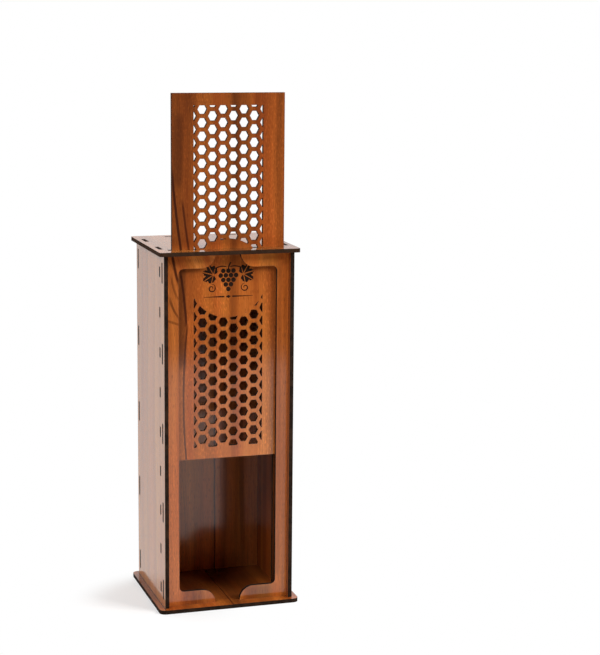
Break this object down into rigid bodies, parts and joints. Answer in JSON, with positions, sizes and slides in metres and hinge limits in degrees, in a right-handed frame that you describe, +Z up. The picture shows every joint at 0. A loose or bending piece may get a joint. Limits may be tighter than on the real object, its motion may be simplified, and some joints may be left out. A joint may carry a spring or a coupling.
{
  "type": "wooden wine box",
  "caption": "Upright bottle box of thin finger-jointed boards, with a honeycomb door that slides up through a slot in its top plate.",
  "frame": {"origin": "middle of the base plate's underside", "axes": "+Z up the box, -Y out of its front with the door, +X to the right as seen from the front"},
  "size_m": [0.144, 0.132, 0.5145],
  "materials": {
    "walnut_board": "glossy walnut-patterned laminate on thin board, laser-cut edges charred dark and matt"
  },
  "bodies": {
    "box": {"base_plate": "walnut_board", "top_plate": "walnut_board", "left_side_panel": "walnut_board", "right_side_panel": "walnut_board", "back_panel": "walnut_board", "left_front_frame": "walnut_board", "right_front_frame": "walnut_board", "left_guide_strip": "walnut_board", "right_guide_strip": "walnut_board"},
    "door": {"sliding_door": "walnut_board"}
  },
  "joints": [
    {"name": "door_slide", "type": "slide", "parent": "box", "child": "door", "axis": [0, 0, 1], "range_m": [-0.1483, 0.2155]}
  ]
}
